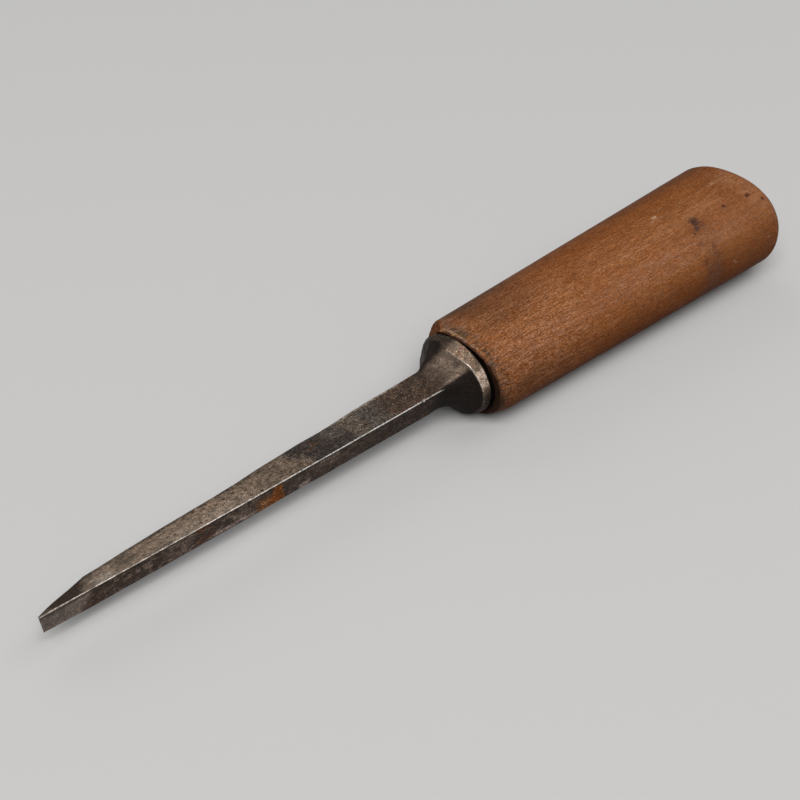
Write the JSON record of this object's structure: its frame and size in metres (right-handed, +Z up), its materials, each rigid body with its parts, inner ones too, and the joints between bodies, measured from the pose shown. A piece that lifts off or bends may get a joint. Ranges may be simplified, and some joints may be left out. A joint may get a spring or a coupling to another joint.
{
  "type": "v parting tool",
  "caption": "Slender V-section carving blade forged in one with a square shank and round bolster, set in a tapered oval wooden handle.",
  "frame": {"origin": "centre of the bounding box in plan, on the surface the handle lies on", "axes": "+X along the tool from blade tip to butt of the handle, +Z up as it lies on the underside of its handle, +Y across, away from the blade's keel"},
  "size_m": [0.2152, 0.032, 0.0244],
  "materials": {
    "steel": "aged forged steel with patina, pitting and rust spots",
    "wood": "worn orange-brown hardwood, hand-polished"
  },
  "bodies": {
    "root": {"blade": "steel", "handle": "wood"}
  },
  "joints": []
}
